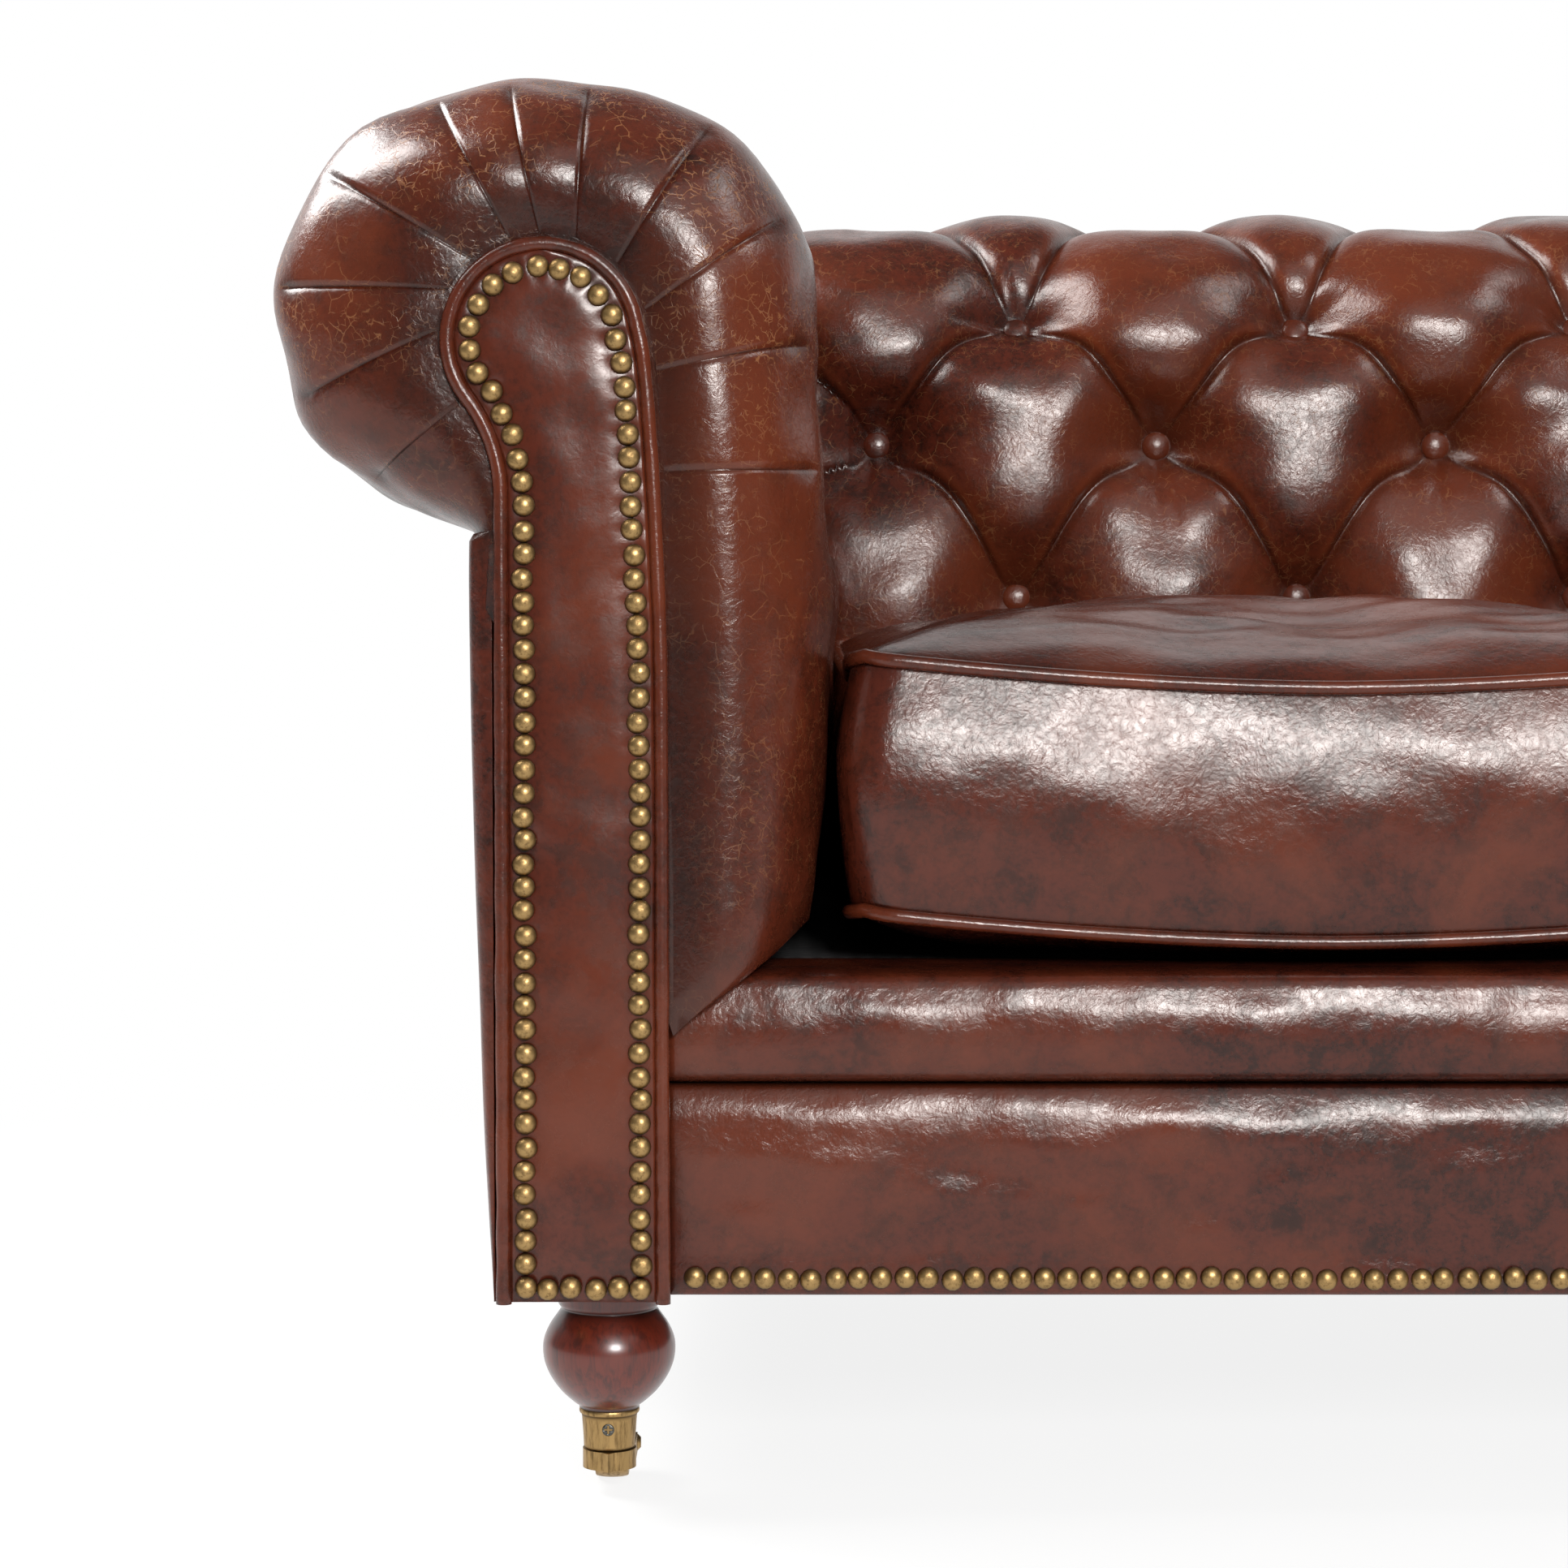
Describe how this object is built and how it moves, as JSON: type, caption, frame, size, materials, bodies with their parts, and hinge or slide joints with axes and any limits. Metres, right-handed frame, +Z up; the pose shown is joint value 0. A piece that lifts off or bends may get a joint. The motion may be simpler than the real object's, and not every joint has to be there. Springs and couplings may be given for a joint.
{
  "type": "sofa",
  "caption": "Low leather sofa with rolled pleated arms, a deep-buttoned back that rolls over at the same height, loose boxed cushions, nailed front facings and turned feet on brass castors.",
  "frame": {"origin": "on the floor, under the middle of the sofa's box", "axes": "+Z up, -Y towards the front, +X to the right of a viewer who faces the front"},
  "size_m": [1.667, 0.9509, 0.7645],
  "materials": {
    "leather": "waxed, rubbed antique brown",
    "frame_wood": "planed, bare",
    "leg_wood": "dark red-brown varnish",
    "antique_brass": "aged, darkened in the recesses",
    "steel": "zinc plated",
    "lining": "black woven cloth"
  },
  "bodies": {
    "sofa": {"arm_buttons_left": "leather", "arm_buttons_right": "leather", "arm_facing_left": "leather", "arm_facing_right": "leather", "arm_front_left": "leather", "arm_front_right": "leather", "arm_liner_left": "frame_wood", "arm_liner_right": "frame_wood", "arm_outside_left": "leather", "arm_outside_right": "leather", "arm_pad_left": "leather", "arm_pad_right": "leather", "arm_post_left": "frame_wood", "arm_post_right": "frame_wood", "arm_roll_rail_left": "frame_wood", "arm_roll_rail_right": "frame_wood", "arm_tack_rails": "frame_wood", "arm_uprights": "frame_wood", "back_buttons": "leather", "back_liner": "frame_wood", "back_outside": "leather", "back_pad": "leather", "back_posts": "frame_wood", "back_rail": "frame_wood", "back_roll_rail": "frame_wood", "back_tack_rail": "frame_wood", "castor_cups": "antique_brass", "castor_screws": "steel", "corner_blocks": "frame_wood", "dust_cover": "lining", "facing_nails_left": "antique_brass", "facing_nails_right": "antique_brass", "facing_piping_left": "leather", "facing_piping_right": "leather", "front_border": "leather", "front_lip": "leather", "front_nails": "antique_brass", "front_rail": "frame_wood", "leg_bolts": "steel", "legs": "leg_wood", "seat_deck": "lining", "seat_webbing": "lining", "side_rail_left": "frame_wood", "side_rail_right": "frame_wood"},
    "castor_front_left": {"castor_fork_front_left": "antique_brass", "castor_axle_front_left": "antique_brass"},
    "wheel_front_left": {"castor_wheel_front_left": "antique_brass"},
    "castor_front_right": {"castor_fork_front_right": "antique_brass", "castor_axle_front_right": "antique_brass"},
    "wheel_front_right": {"castor_wheel_front_right": "antique_brass"},
    "castor_rear_left": {"castor_fork_rear_left": "antique_brass", "castor_axle_rear_left": "antique_brass"},
    "wheel_rear_left": {"castor_wheel_rear_left": "antique_brass"},
    "castor_rear_right": {"castor_fork_rear_right": "antique_brass", "castor_axle_rear_right": "antique_brass"},
    "wheel_rear_right": {"castor_wheel_rear_right": "antique_brass"},
    "seat_cushion_left": {"cushion_left": "leather", "cushion_piping_left": "leather"},
    "seat_cushion_right": {"cushion_right": "leather", "cushion_piping_right": "leather"}
  },
  "joints": [
    {"name": "swivel_front_left", "type": "hinge", "parent": "sofa", "child": "castor_front_left", "pos_m": [-0.6555, -0.40325, 0.025], "axis": [0, 0, 1], "continuous": true},
    {"name": "roll_front_left", "type": "hinge", "parent": "castor_front_left", "child": "wheel_front_left", "pos_m": [-0.6555, -0.36875, 0.019], "axis": [1, 0, 0], "continuous": true},
    {"name": "swivel_front_right", "type": "hinge", "parent": "sofa", "child": "castor_front_right", "pos_m": [0.6555, -0.40325, 0.025], "axis": [0, 0, 1], "continuous": true},
    {"name": "roll_front_right", "type": "hinge", "parent": "castor_front_right", "child": "wheel_front_right", "pos_m": [0.6555, -0.36875, 0.019], "axis": [1, 0, 0], "continuous": true},
    {"name": "swivel_rear_left", "type": "hinge", "parent": "sofa", "child": "castor_rear_left", "pos_m": [-0.6555, 0.29775, 0.025], "axis": [0, 0, 1], "continuous": true},
    {"name": "roll_rear_left", "type": "hinge", "parent": "castor_rear_left", "child": "wheel_rear_left", "pos_m": [-0.6555, 0.33225, 0.019], "axis": [1, 0, 0], "continuous": true},
    {"name": "swivel_rear_right", "type": "hinge", "parent": "sofa", "child": "castor_rear_right", "pos_m": [0.6555, 0.29775, 0.025], "axis": [0, 0, 1], "continuous": true},
    {"name": "roll_rear_right", "type": "hinge", "parent": "castor_rear_right", "child": "wheel_rear_right", "pos_m": [0.6555, 0.33225, 0.019], "axis": [1, 0, 0], "continuous": true},
    {"name": "lift_cushion_left", "type": "slide", "parent": "sofa", "child": "seat_cushion_left", "axis": [0, 0, 1], "range_m": [0, 0.3]},
    {"name": "lift_cushion_right", "type": "slide", "parent": "sofa", "child": "seat_cushion_right", "axis": [0, 0, 1], "range_m": [0, 0.3]}
  ]
}
